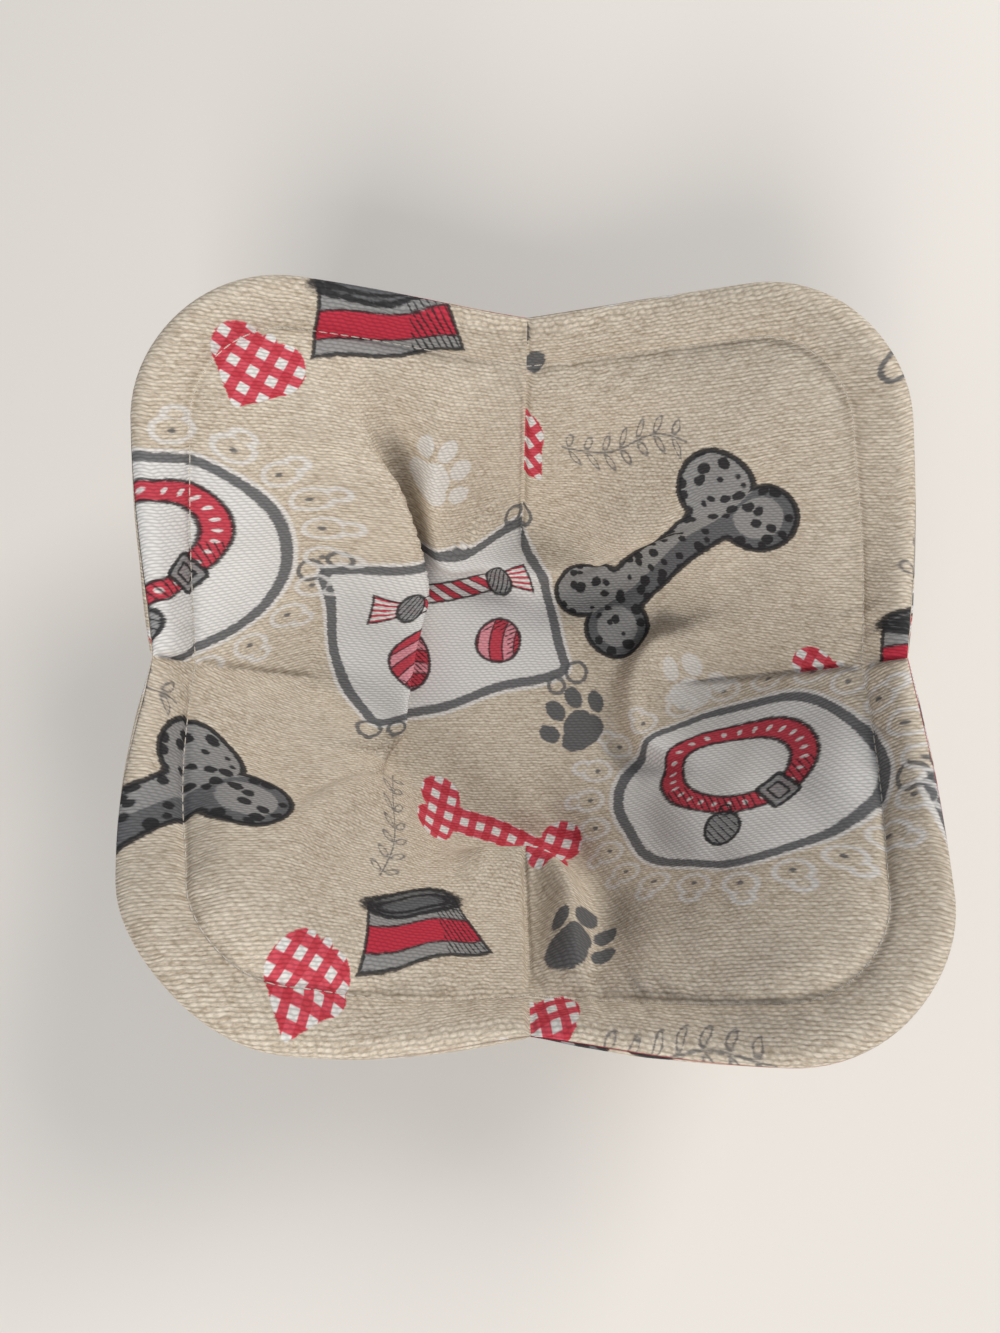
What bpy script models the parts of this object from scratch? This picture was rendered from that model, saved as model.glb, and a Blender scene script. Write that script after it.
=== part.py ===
"""A padded bowl cozy: a lining cloth and an outer cloth, each a square with four darts, sewn together at
the rim with wadding between them.

Metres, +Z up. The origin is under the middle of the base, on the surface that the cozy stands on. Seen from
above, +Y is north, and the darts are named east, north, west and south. A petal of cloth rises between each
two darts.

Each cloth is worked out flat first, as it is cut. A meridian is a line on that flat cloth from its middle to
the rim seam. It keeps its length as the wall stands up, so the bowl has the size that the cut cloth gives it.
"""

import math
from bisect import bisect_right

import bmesh
import bpy
from mathutils import Vector

# Flat cloth square, up to its rim seam
CLOTH_HALF_SIDE = 0.1206
CLOTH_CORNER_RADIUS = 0.038

# Darts, in the order east, north, west, south: length from the rim seam, and half of the cloth taken up there
DART_LENGTHS = (0.066, 0.070, 0.046, 0.057)
DART_HALF_TAKE_UP = 0.021
DART_CREASE_DEPTH = 0.0012

# Layers
CLOTH_THICKNESS = 0.0008
PADDED_THICKNESS = 0.0070
LAYER_GAP = 0.0003

# Rim: a line of stitching round the bowl, a padded band outside it, and a rounded edge that ends at the seam
STITCH_INSET = 0.0127
STITCH_HALF_WIDTH = 0.0022
STITCH_DEPTH = 0.0012
EDGE_ROUND = 0.0042

# Wall, at eight stations from east, turning north: how much steeper it stands than the darts alone would make
# it (degrees), how far the flat base reaches, and how far the rim turns outwards (degrees)
STATIONS = (
    (4, 0.032, -16),
    (20, 0.034, 28),
    (20, 0.034, 10),
    (13, 0.029, 25),
    (6, 0.032, -20),
    (26, 0.032, 60),
    (18, 0.039, -5),
    (18, 0.029, 29),
)
WALL_BEND = 0.035
RIM_TURN = 0.045

# Puckers in the lining, where the stiff end of each dart meets the soft base. Each is a crest, seen from
# above and drawn with its steep side on the right, then its height, how far it spreads on its steep side and
# on its gentle side, and how far it leans over its steep side for each metre of its height
WEST_RIDGE = ((-0.047, -0.026), (-0.045, -0.016), (-0.042, -0.002), (-0.041, 0.018), (-0.044, 0.040))
NORTH_BLOCK = (
    (-0.022, 0.051),
    (-0.019, 0.044),
    (-0.007, 0.041),
    (0.006, 0.039),
    (0.019, 0.042),
    (0.038, 0.050),
)
EAST_KNUCKLE = ((0.051, 0.014), (0.040, 0.007), (0.036, -0.006), (0.041, -0.018))
SOUTH_TONGUE = ((0.010, -0.084), (0.012, -0.075), (0.012, -0.066), (0.003, -0.062), (-0.010, -0.064))
PUCKERS = (
    (WEST_RIDGE, 0.0092, 0.012, 0.025, 0.35),
    (NORTH_BLOCK, 0.0064, 0.012, 0.024, 0.20),
    (EAST_KNUCKLE, 0.0045, 0.010, 0.017, 0.20),
    (SOUTH_TONGUE, 0.0048, 0.010, 0.014, 0.20),
)
PUCKER_TAPER = 0.016
CREST_STEPS = 5

# Mesh: sectors in each petal, rings on the base and wall as shares of the way to the stitching, and angles
# of the rings round the rim's edge
PETAL_SECTORS = 16
WALL_RINGS = (0.12, 0.21, 0.28, 0.34, 0.40, 0.47, 0.56, 0.68, 0.84)
EDGE_ANGLES = (0.0, 35.0, 65.0, 90.0)
MARCH = 0.001

DARTS = len(DART_LENGTHS)
PETAL_ANGLE = 2 * math.pi / DARTS
SECTORS = DARTS * PETAL_SECTORS
HALF_THICKNESS = PADDED_THICKNESS / 2
BASE_HEIGHT = HALF_THICKNESS + LAYER_GAP / 2


def smooth(share):
    """0 to 1 with a level start and end."""
    share = min(1.0, max(0.0, share))
    return share * share * (3 - 2 * share)


def depth_inside_seam(u, v):
    """How far a point of the flat cloth lies inside its rim seam; negative outside."""
    straight = CLOTH_HALF_SIDE - CLOTH_CORNER_RADIUS
    past_u = abs(u) - straight
    past_v = abs(v) - straight
    corner = math.hypot(max(past_u, 0.0), max(past_v, 0.0))
    return CLOTH_CORNER_RADIUS - corner - min(max(past_u, past_v), 0.0)


def dart_angle(radius, dart):
    """Angle between a dart's middle line and its sewn leg, at a radius on the flat cloth."""
    tip = CLOTH_HALF_SIDE - DART_LENGTHS[dart]
    if radius <= tip:
        return 0.0
    spread = DART_HALF_TAKE_UP / DART_LENGTHS[dart]
    a = 1 + spread**2
    b = spread**2 * tip
    c = spread**2 * tip**2 - radius**2
    along = (b + math.sqrt(b * b - a * c)) / a
    return math.atan2(spread * (along - tip), along)


def cone_slope():
    """Slope that the darts' take-up alone gives a wall, as a cone from which that much of the turn is cut."""
    taken = 2 * DARTS * math.atan2(DART_HALF_TAKE_UP, CLOTH_HALF_SIDE)
    return math.acos(1 - taken / (2 * math.pi))


def station(heading):
    """Wall slope, reach of the base and outward turn of the rim at a heading, blended between stations."""
    place = (heading / (2 * math.pi) * len(STATIONS)) % len(STATIONS)
    first = int(place) % len(STATIONS)
    share = 0.5 - 0.5 * math.cos(math.pi * (place - int(place)))
    pair = zip(STATIONS[first], STATIONS[(first + 1) % len(STATIONS)])
    steeper, reach, turn = (low * (1 - share) + high * share for low, high in pair)
    return cone_slope() + math.radians(steeper), reach, math.radians(turn)


class Meridian:
    """A line from the cloth's middle to its rim seam: its length when flat, and its run and rise."""

    def __init__(self, heading):
        self.heading = heading
        self.outward = Vector((math.cos(heading), math.sin(heading), 0))
        self.lengths = [0.0]
        self.measure_flat()
        self.stand_up()

    def flat_point(self, radius):
        """Point on the flat cloth. The petal's angle narrows by the darts on each side of it."""
        dart = int(self.heading / PETAL_ANGLE + 1e-9) % DARTS
        share = self.heading / PETAL_ANGLE - int(self.heading / PETAL_ANGLE + 1e-9)
        near, far = dart_angle(radius, dart), dart_angle(radius, (dart + 1) % DARTS)
        angle = dart * PETAL_ANGLE + near + share * (PETAL_ANGLE - near - far)
        return radius * math.cos(angle), radius * math.sin(angle)

    def measure_flat(self):
        """Marches outwards to the seam, adding up the length, and notes where the stitching crosses."""
        here = (0.0, 0.0)
        inside = depth_inside_seam(*here)
        step = 0
        while inside > 0:
            step += 1
            there = self.flat_point(step * MARCH)
            left = depth_inside_seam(*there)
            length = self.lengths[-1] + math.dist(here, there)
            if inside > STITCH_INSET >= left:
                share = (inside - STITCH_INSET) / (inside - left)
                self.stitch = self.lengths[-1] + share * (length - self.lengths[-1])
            if left <= 0:
                length = self.lengths[-1] + inside / (inside - left) * (length - self.lengths[-1])
            self.lengths.append(length)
            here, inside = there, left
        self.seam = self.lengths[-1]

    def slope_at(self, length):
        """Slope of the wall at a length: level on the base, steep up the wall, turned out at the rim."""
        wall, reach, turn = station(self.heading)
        rising = wall * smooth((length - reach) / WALL_BEND)
        return rising - turn * smooth((length - self.seam + RIM_TURN) / RIM_TURN)

    def stand_up(self):
        """Run and rise at each length, so that the cloth keeps its length up the wall."""
        self.runs, self.rises = [0.0], [BASE_HEIGHT]
        for start, end in zip(self.lengths, self.lengths[1:]):
            slope = self.slope_at((start + end) / 2)
            self.runs.append(self.runs[-1] + (end - start) * math.cos(slope))
            self.rises.append(self.rises[-1] + (end - start) * math.sin(slope))

    def point(self, length):
        """Point of the middle surface, halfway through the wadding."""
        length = min(length, self.seam)
        step = min(bisect_right(self.lengths, length), len(self.lengths) - 1)
        share = (length - self.lengths[step - 1]) / (self.lengths[step] - self.lengths[step - 1])
        run = self.runs[step - 1] + share * (self.runs[step] - self.runs[step - 1])
        rise = self.rises[step - 1] + share * (self.rises[step] - self.rises[step - 1])
        return self.outward * run + Vector((0, 0, rise))


class Spoke:
    """A meridian with its neighbours, which give the direction square to the cloth."""

    def __init__(self, heading):
        aside = math.radians(1.0)
        self.line = Meridian(heading)
        self.before = Meridian((heading - aside) % (2 * math.pi))
        self.after = Meridian((heading + aside) % (2 * math.pi))

    def normal(self, length):
        """Unit vector square to the middle surface, towards the inside of the bowl."""
        if length < MARCH:
            return Vector((0, 0, 1))
        slope = self.line.slope_at(length)
        up_the_wall = self.line.outward * math.cos(slope) + Vector((0, 0, math.sin(slope)))
        around = self.after.point(length) - self.before.point(length)
        return up_the_wall.cross(around).normalized()


def curve_through(points):
    """Places along a smooth curve through a crest's points, each with the direction of the curve there."""
    points = [Vector(point) for point in points]
    knots = [2 * points[0] - points[1], *points, 2 * points[-1] - points[-2]]
    curve = []
    for before, start, end, after in zip(knots, knots[1:], knots[2:], knots[3:]):
        bend = 2 * before - 5 * start + 4 * end - after
        twist = 3 * start - before - 3 * end + after
        for step in range(CREST_STEPS):
            t = step / CREST_STEPS
            place = start + ((end - before) * t + bend * t**2 + twist * t**3) / 2
            curve.append((place, (end - before + 2 * bend * t + 3 * twist * t**2).normalized()))
    return [*curve, (points[-1], (points[-1] - points[-2]).normalized())]


def nearest_on(curve, here):
    """How far a point lies from a curve, on which side (1 left to -1 right), how far from its ends, and the
    way to its right."""
    walked = 0.0
    found = []
    for (start, heading), (end, next_heading) in zip(curve, curve[1:]):
        along = end - start
        share = min(1.0, max(0.0, (here - start).dot(along) / along.length_squared))
        away = here - start.lerp(end, share)
        found.append((away.length, walked + share * along.length, away, heading.lerp(next_heading, share)))
        walked += along.length
    apart, way, away, heading = min(found, key=lambda item: item[0])
    side = heading.cross(away) / max(away.length, 1e-9)
    return apart, min(1.0, max(-1.0, side)), min(way, walked - way), Vector((heading.y, -heading.x, 0))


CREST_CURVES = [curve_through(crest) for crest, *_ in PUCKERS]


def pucker(x, y):
    """How far the lining's puckers lift a point, and the way that they lean it. The higher of two wins."""
    total = weights = 0.0
    lean = Vector((0, 0, 0))
    for curve, (_, height, steep, gentle, leaning) in zip(CREST_CURVES, PUCKERS):
        apart, side, from_end, right = nearest_on(curve, Vector((x, y)))
        spread = (steep + gentle) / 2 + (gentle - steep) / 2 * side
        rise = height * smooth(1 - apart / spread) * smooth(0.4 + from_end / PUCKER_TAPER)
        weight = rise**3
        weights += weight
        total += weight * rise
        lean += right * (leaning * weight * rise)
    weights = max(weights, 1e-12)
    return total / weights, lean / weights


def crease(heading, length):
    """Depth of the crease along a dart's sewn line, from its tip to the rim."""
    dart = round(heading / PETAL_ANGLE) % DARTS
    off_line = abs((heading / PETAL_ANGLE + 0.5) % 1 - 0.5)
    tip = CLOTH_HALF_SIDE - DART_LENGTHS[dart]
    if off_line > 1e-6 or length <= tip:
        return 0.0
    return DART_CREASE_DEPTH * smooth((length - tip) / DART_LENGTHS[dart] * 3)


def ring_section(spoke, ring, under):
    """Length along the meridian and half thickness at a ring, for a layer so far under the cloth's face."""
    line = spoke.line
    edge = line.seam - EDGE_ROUND
    inner_lip = line.stitch - STITCH_HALF_WIDTH
    outer_lip = line.stitch + STITCH_HALF_WIDTH
    wall = [share * inner_lip for share in (0.0, *WALL_RINGS)]
    flats = [*wall, inner_lip, line.stitch, outer_lip, (outer_lip + edge) / 2]
    full = HALF_THICKNESS - under
    if ring < len(flats):
        pinch = STITCH_DEPTH if ring == flats.index(line.stitch) else 0.0
        return flats[ring], full - pinch
    angle = math.radians(EDGE_ANGLES[ring - len(flats)])
    return edge + (EDGE_ROUND - under) * math.sin(angle), full * math.cos(angle)


RINGS = 1 + len(WALL_RINGS) + 4 + len(EDGE_ANGLES)


def layer_point(spoke, ring, side, under, seam_gap):
    """Point of a layer's face: side is 1 for the lining's half of the bowl and -1 for the outer cloth's."""
    length, half = ring_section(spoke, ring, under)
    middle = spoke.line.point(length)
    normal = spoke.normal(length)
    half += seam_gap - crease(spoke.line.heading, length) * min(1.0, half / HALF_THICKNESS)
    if side < 0:
        return middle - normal * half
    lift, lean = pucker(middle.x, middle.y)
    free = smooth((spoke.line.stitch - length) / STITCH_INSET)
    return middle + normal * (half + lift * free) + lean * free


def heading_of(sector):
    """Heading of a sector line. The lines crowd towards the darts, where the cloth creases."""
    petal, share = divmod(sector / PETAL_SECTORS, 1)
    crowded = 0.5 - 0.5 * math.cos(math.pi * share)
    return (petal + 0.65 * share + 0.35 * crowded) * PETAL_ANGLE


SPOKES = [Spoke(heading_of(sector)) for sector in range(SECTORS)]


def add_disc(work):
    """A flat disc of rings and sectors, one unit apart, made by turning a row of points about its end."""
    row = [work.verts.new((ring, 0, 0)) for ring in range(RINGS)]
    links = [work.edges.new(pair) for pair in zip(row, row[1:])]
    turn = {"cent": (0, 0, 0), "axis": (0, 0, 1), "angle": 2 * math.pi, "steps": SECTORS, "use_merge": True}
    bmesh.ops.spin(work, geom=row + links, **turn)
    bmesh.ops.remove_doubles(work, verts=work.verts, dist=1e-3)


def add_face(work, side, under, seam_gap):
    """Adds one face of a layer, shaped as it stands in the bowl."""
    disc = bmesh.new()
    add_disc(disc)
    for vert in disc.verts:
        ring = round(vert.co.length)
        sector = round(math.atan2(vert.co.y, vert.co.x) / (2 * math.pi) * SECTORS) % SECTORS
        vert.co = layer_point(SPOKES[sector], ring, side, under, seam_gap)
    shaped = bpy.data.meshes.new("face")
    disc.to_mesh(shaped)
    disc.free()
    work.from_mesh(shaped)
    bpy.data.meshes.remove(shaped)


def add_layer(name, faces, material):
    """One closed layer between two faces, which share their rim or are joined there by a narrow edge."""
    work = bmesh.new()
    for face in faces:
        add_face(work, *face)
    bmesh.ops.remove_doubles(work, verts=[vert for vert in work.verts if vert.is_boundary], dist=1e-6)
    rims = [edge for edge in work.edges if edge.is_boundary]
    if rims:
        bmesh.ops.bridge_loops(work, edges=rims)
    bmesh.ops.recalc_face_normals(work, faces=work.faces)
    mesh = bpy.data.meshes.new(name)
    work.to_mesh(mesh)
    work.free()
    mesh.shade_smooth()
    mesh.set_sharp_from_angle(angle=math.radians(50))
    mesh.materials.append(material)
    layer = bpy.data.objects.new(name, mesh)
    bpy.context.scene.collection.objects.link(layer)


def cloth_material(name, colour, roughness):
    material = bpy.data.materials.new(name)
    material.use_nodes = True
    shader = material.node_tree.nodes["Principled BSDF"]
    shader.inputs["Base Color"].default_value = (*colour, 1)
    shader.inputs["Roughness"].default_value = roughness
    shader.inputs["Metallic"].default_value = 0.0
    return material


def clear_scene():
    for item in list(bpy.data.objects):
        bpy.data.objects.remove(item)


clear_scene()
linen = cloth_material("natural_linen", (0.50, 0.42, 0.32), 0.9)
backing = cloth_material("outer_linen", (0.47, 0.40, 0.31), 0.9)
cotton = cloth_material("cotton_wadding", (0.86, 0.84, 0.78), 1.0)
half_gap = LAYER_GAP / 2
wadding_under = CLOTH_THICKNESS + LAYER_GAP
add_layer("lining_cloth", ((1, 0, half_gap), (1, CLOTH_THICKNESS, half_gap)), linen)
add_layer("outer_cloth", ((-1, 0, half_gap), (-1, CLOTH_THICKNESS, half_gap)), backing)
add_layer("wadding", ((1, wadding_under, 0), (-1, wadding_under, 0)), cotton)
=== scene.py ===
"""Looks for the padded bowl cozy: two printed canvas cloths, the wadding between them and the topstitching.

The cloths are worked out flat first, as they are cut, and stand up along their meridians as the solids do.
Every length is in metres. Seen from above, +Y is north, and the darts are named east, north, west and south.
"""

import functools
import math

import bmesh
import bpy
import numpy as np
from mathutils import Matrix, Vector, noise


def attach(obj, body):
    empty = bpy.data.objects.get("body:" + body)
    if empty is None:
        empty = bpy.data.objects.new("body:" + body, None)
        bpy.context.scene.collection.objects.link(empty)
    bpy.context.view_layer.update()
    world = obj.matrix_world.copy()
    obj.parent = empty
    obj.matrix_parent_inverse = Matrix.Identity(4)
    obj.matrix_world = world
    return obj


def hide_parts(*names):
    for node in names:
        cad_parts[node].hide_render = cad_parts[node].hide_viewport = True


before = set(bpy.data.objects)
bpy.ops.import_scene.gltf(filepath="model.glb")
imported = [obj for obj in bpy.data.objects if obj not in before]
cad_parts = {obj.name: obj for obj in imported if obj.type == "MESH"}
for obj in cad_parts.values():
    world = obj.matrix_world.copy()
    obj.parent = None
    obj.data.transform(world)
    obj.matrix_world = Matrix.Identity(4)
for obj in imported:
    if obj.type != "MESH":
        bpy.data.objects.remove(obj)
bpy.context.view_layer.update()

# The cut cloth and its darts, as the solids have them
CLOTH_HALF_SIDE = 0.1206
CLOTH_CORNER_RADIUS = 0.038
DART_LENGTHS = (0.066, 0.070, 0.046, 0.057)
DART_HALF_TAKE_UP = 0.021
CLOTH_THICKNESS = 0.0008
PADDED_THICKNESS = 0.0070
LAYER_GAP = 0.0003
STITCH_INSET = 0.0127
EDGE_ROUND = 0.0042

# Topstitching: room for each stitch, the share of it that shows as thread, and the thread's radius
STITCH_LENGTH = 0.0029
STITCH_SHOWS = 0.84
THREAD_RADIUS = 0.00020

# Wall at eight stations from east, turning north: steeper than the darts make it (degrees), reach of the
# flat base, and outward turn of the rim (degrees)
STATIONS = (
    (4, 0.032, -16),
    (20, 0.034, 28),
    (20, 0.034, 10),
    (13, 0.029, 25),
    (6, 0.032, -20),
    (26, 0.032, 60),
    (18, 0.039, -5),
    (18, 0.029, 29),
)
WALL_BEND = 0.035
RIM_TURN = 0.045

DARTS = len(DART_LENGTHS)
PETAL_ANGLE = 2 * math.pi / DARTS
HALF_THICKNESS = PADDED_THICKNESS / 2
BASE_HEIGHT = HALF_THICKNESS + LAYER_GAP / 2
MARCH = 0.0005

# Mesh of a cloth: columns of points in each petal, and rings on the wall, the stitched groove, the band
# and the edge
PETAL_COLUMNS = 96
WALL_RINGS = 62
GROOVE_RINGS = (-0.0030, -0.0022, -0.0015, -0.0010, -0.0005, 0.0, 0.0005, 0.0010, 0.0015, 0.0022, 0.0030)
BAND_RINGS = 5
EDGE_RINGS = 9

# Flat pattern on the UV map: middle and half width of the printed face, and of the hidden back in a corner
PATTERN_MIDDLE = 0.45
PATTERN_HALF = 0.43
HIDDEN_MIDDLE = 0.95
HIDDEN_HALF = 0.04

# Folds of the lining where the stiff darts meet the soft base. A fold is drawn from above with its steep side
# on the right: its crest, height, spread on the steep side and on the gentle side, and lean for each metre of
# height
WEST_RIDGE = (
    (-0.050, -0.027),
    (-0.048, -0.015),
    (-0.044, -0.002),
    (-0.042, 0.018),
    (-0.044, 0.040),
    (-0.050, 0.066),
)
WEST_LIP = ((-0.044, -0.036), (-0.054, -0.038), (-0.062, -0.046))
NORTH_BLOCK = (
    (-0.026, 0.072),
    (-0.030, 0.056),
    (-0.029, 0.045),
    (-0.012, 0.042),
    (0.004, 0.037),
    (0.017, 0.041),
    (0.036, 0.050),
    (0.055, 0.051),
)
EAST_KNUCKLE = ((0.058, 0.016), (0.043, 0.010), (0.036, -0.004), (0.040, -0.018), (0.052, -0.026))
SOUTH_TONGUE = (
    (0.010, -0.088),
    (0.013, -0.077),
    (0.013, -0.067),
    (0.006, -0.061),
    (-0.006, -0.061),
    (-0.024, -0.060),
)
FOLDS = (
    (WEST_RIDGE, 0.0115, 0.0060, 0.023, 0.45),
    (WEST_LIP, 0.0040, 0.0070, 0.014, 0.20),
    (NORTH_BLOCK, 0.0085, 0.0065, 0.024, 0.35),
    (EAST_KNUCKLE, 0.0080, 0.0080, 0.016, 0.20),
    (SOUTH_TONGUE, 0.0065, 0.0070, 0.012, 0.25),
)
FOLD_TAPER = 0.016
LINING_BACK_FOLLOWS = 0.88
WADDING_FOLLOWS = 0.72

# Soft valleys of the lining: a line from above, a depth and a spread
VALLEYS = (
    (((-0.044, 0.084), (-0.038, 0.068), (-0.037, 0.050), (-0.034, 0.036)), 0.0042, 0.0055),
    (((-0.028, 0.036), (-0.010, 0.031), (0.006, 0.028), (0.022, 0.032), (0.042, 0.041)), 0.0036, 0.0072),
    (((0.046, 0.021), (0.032, 0.012), (0.027, -0.006), (0.031, -0.021), (0.044, -0.031)), 0.0032, 0.0070),
    (((0.021, -0.080), (0.022, -0.066), (0.016, -0.055), (0.004, -0.051), (-0.010, -0.050)), 0.0030, 0.0060),
    (((0.003, -0.028), (0.009, -0.040), (0.016, -0.051)), 0.0018, 0.0060),
    (((0.020, -0.054), (0.036, -0.052), (0.050, -0.050)), 0.0022, 0.0080),
    (((-0.070, 0.001), (-0.060, -0.006), (-0.053, -0.022), (-0.044, -0.030)), 0.0034, 0.0055),
    (((0.040, 0.030), (0.058, 0.028), (0.078, 0.034)), 0.0018, 0.0100),
    (((-0.062, -0.050), (-0.052, -0.058), (-0.040, -0.060)), 0.0016, 0.0090),
)


def smooth(share):
    """0 to 1 with a level start and end."""
    share = np.clip(share, 0, 1)
    return share * share * (3 - 2 * share)


def depth_inside_seam(u, v):
    """How far points of the flat cloth lie inside its rim seam; negative outside."""
    straight = CLOTH_HALF_SIDE - CLOTH_CORNER_RADIUS
    past_u, past_v = np.abs(u) - straight, np.abs(v) - straight
    corner = np.hypot(np.maximum(past_u, 0), np.maximum(past_v, 0))
    return CLOTH_CORNER_RADIUS - corner - np.minimum(np.maximum(past_u, past_v), 0)


def dart_angle(radius, dart):
    """Angle between a dart's middle line and its sewn leg, at each radius on the flat cloth."""
    tip = CLOTH_HALF_SIDE - DART_LENGTHS[dart]
    spread = DART_HALF_TAKE_UP / DART_LENGTHS[dart]
    a, b, c = 1 + spread**2, spread**2 * tip, spread**2 * tip**2 - radius**2
    along = (b + np.sqrt(np.maximum(b * b - a * c, 0))) / a
    return np.where(radius > tip, np.arctan2(spread * np.maximum(along - tip, 0), along), 0.0)


def wall_facts(heading):
    """Wall slope, reach of the base and outward turn of the rim at a heading, blended between stations."""
    place = heading / (2 * math.pi) * len(STATIONS)
    first = int(place)
    share = 0.5 - 0.5 * math.cos(math.pi * (place - first))
    low, high = STATIONS[first % len(STATIONS)], STATIONS[(first + 1) % len(STATIONS)]
    steeper, reach, turn = (a * (1 - share) + b * share for a, b in zip(low, high))
    taken = 2 * DARTS * math.atan2(DART_HALF_TAKE_UP, CLOTH_HALF_SIDE)
    cone = math.acos(1 - taken / (2 * math.pi))
    return cone + math.radians(steeper), reach, math.radians(turn)


class Meridian:
    """A line on the flat cloth from its middle to the rim seam, and where it stands in the bowl."""

    def __init__(self, petal, share):
        self.heading = (petal + share) * PETAL_ANGLE
        radius = np.arange(0, 0.175, MARCH)
        near, far = dart_angle(radius, petal), dart_angle(radius, (petal + 1) % DARTS)
        angle = petal * PETAL_ANGLE + near + share * (PETAL_ANGLE - near - far)
        self.u, self.v = radius * np.cos(angle), radius * np.sin(angle)
        self.length = np.concatenate(([0], np.cumsum(np.hypot(np.diff(self.u), np.diff(self.v)))))
        outside = -depth_inside_seam(self.u, self.v)
        self.seam = float(np.interp(0, outside, self.length))
        self.stitch = float(np.interp(-STITCH_INSET, outside, self.length))
        wall, reach, turn = wall_facts(self.heading)
        rising = wall * smooth((self.length - reach) / WALL_BEND)
        self.slope = rising - turn * smooth((self.length - self.seam + RIM_TURN) / RIM_TURN)
        step = np.diff(self.length)
        middle = (self.slope[1:] + self.slope[:-1]) / 2
        self.run = np.concatenate(([0], np.cumsum(step * np.cos(middle))))
        self.rise = BASE_HEIGHT + np.concatenate(([0], np.cumsum(step * np.sin(middle))))

    def rings(self):
        """Length along the line at each ring, and how round the edge has turned there (0 to 90 degrees)."""
        edge = self.seam - EDGE_ROUND
        inner_lip, outer_lip = self.stitch + GROOVE_RINGS[0], self.stitch + GROOVE_RINGS[-1]
        wall = np.linspace(0, inner_lip, WALL_RINGS, endpoint=False)
        groove = self.stitch + np.array(GROOVE_RINGS)
        band = np.linspace(outer_lip, edge, BAND_RINGS + 2)[1:-1]
        turned = np.radians(np.linspace(0, 90, EDGE_RINGS))
        lengths = np.concatenate((wall, groove, band, np.full(EDGE_RINGS, edge)))
        return lengths, np.concatenate((np.zeros(len(lengths) - EDGE_RINGS), turned))

    def at(self, lengths):
        """Points of the middle surface, and the direction up the wall, at lengths along the line."""
        lengths = np.minimum(lengths, self.seam)
        run, rise = np.interp(lengths, self.length, self.run), np.interp(lengths, self.length, self.rise)
        slope = np.interp(lengths, self.length, self.slope)
        outward = np.array((math.cos(self.heading), math.sin(self.heading)))
        points = np.column_stack((np.outer(run, outward), rise))
        up_the_wall = np.column_stack((np.outer(np.cos(slope), outward), np.sin(slope)))
        return points, up_the_wall

    def cut(self, lengths):
        """Places on the flat cloth at lengths along the line."""
        return np.interp(lengths, self.length, self.u), np.interp(lengths, self.length, self.v)


def column_share(column):
    """Share of a petal at a column. The columns crowd towards the darts, where the cloth creases."""
    share = column / PETAL_COLUMNS
    return 0.25 * share + 0.75 * (0.5 - 0.5 * math.cos(math.pi * share))


MERIDIANS = [Meridian(p, column_share(c)) for p in range(DARTS) for c in range(PETAL_COLUMNS)]
COLUMNS = len(MERIDIANS)
RING_LENGTHS = np.array([line.rings()[0] for line in MERIDIANS])
EDGE_TURN = MERIDIANS[0].rings()[1]
RINGS = len(EDGE_TURN)
STITCHES = np.array([line.stitch for line in MERIDIANS])
HEADINGS = np.array([line.heading for line in MERIDIANS])


def dart_offset():
    """For each column, the angle to the nearest dart line, and that dart's tip distance."""
    place = HEADINGS / PETAL_ANGLE
    nearest = np.round(place).astype(int) % DARTS
    off = (place - np.round(place)) * PETAL_ANGLE
    return off, CLOTH_HALF_SIDE - np.array(DART_LENGTHS)[nearest]


def beside(line, here):
    """How far each point is from a line, its side (1 left to -1 right), the way to an end, and the right."""
    step = np.hypot(*np.diff(line, axis=0).T)
    walked = np.concatenate(([0], np.cumsum(step)))
    away = here[:, None, :] - line[None, :, :]
    apart = np.hypot(away[..., 0], away[..., 1])
    nearest = apart.argmin(axis=1)
    rows = np.arange(len(here))
    apart, away = apart[rows, nearest], away[rows, nearest]
    along = np.gradient(line, axis=0)
    along /= np.hypot(*along.T)[:, None]
    along = along[nearest]
    side = (along[:, 0] * away[:, 1] - along[:, 1] * away[:, 0]) / np.maximum(apart, 1e-9)
    end = np.minimum(walked[nearest], walked[-1] - walked[nearest])
    right = np.column_stack((along[:, 1], -along[:, 0]))
    return apart, np.clip(side, -1, 1), end, right


def fold_lift(x, y):
    """How far the lining's folds and valleys lift each point, and how they lean it. The higher fold wins."""
    here = np.column_stack((x.ravel(), y.ravel()))
    weights = np.zeros(len(here))
    total = np.zeros(len(here))
    lean = np.zeros((len(here), 2))
    for crest, height, steep, gentle, leaning in FOLDS:
        apart, side, end, right = beside(smooth_line(crest, 70), here)
        spread = (steep + gentle) / 2 + (gentle - steep) / 2 * side
        rise = height * smooth(1 - apart / spread) * smooth(0.4 + end / FOLD_TAPER)
        weight = rise**3
        weights += weight
        total += weight * rise
        lean += (weight * rise * leaning)[:, None] * right
    weights = np.maximum(weights, 1e-15)
    lift = total / weights
    for valley, depth, spread in VALLEYS:
        apart, _, end, _ = beside(smooth_line(valley, 30), here)
        lift -= depth * np.exp(-((apart / spread) ** 2)) * smooth(0.3 + end / FOLD_TAPER)
    return lift.reshape(x.shape), (lean / weights[:, None]).reshape((*x.shape, 2))


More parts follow.
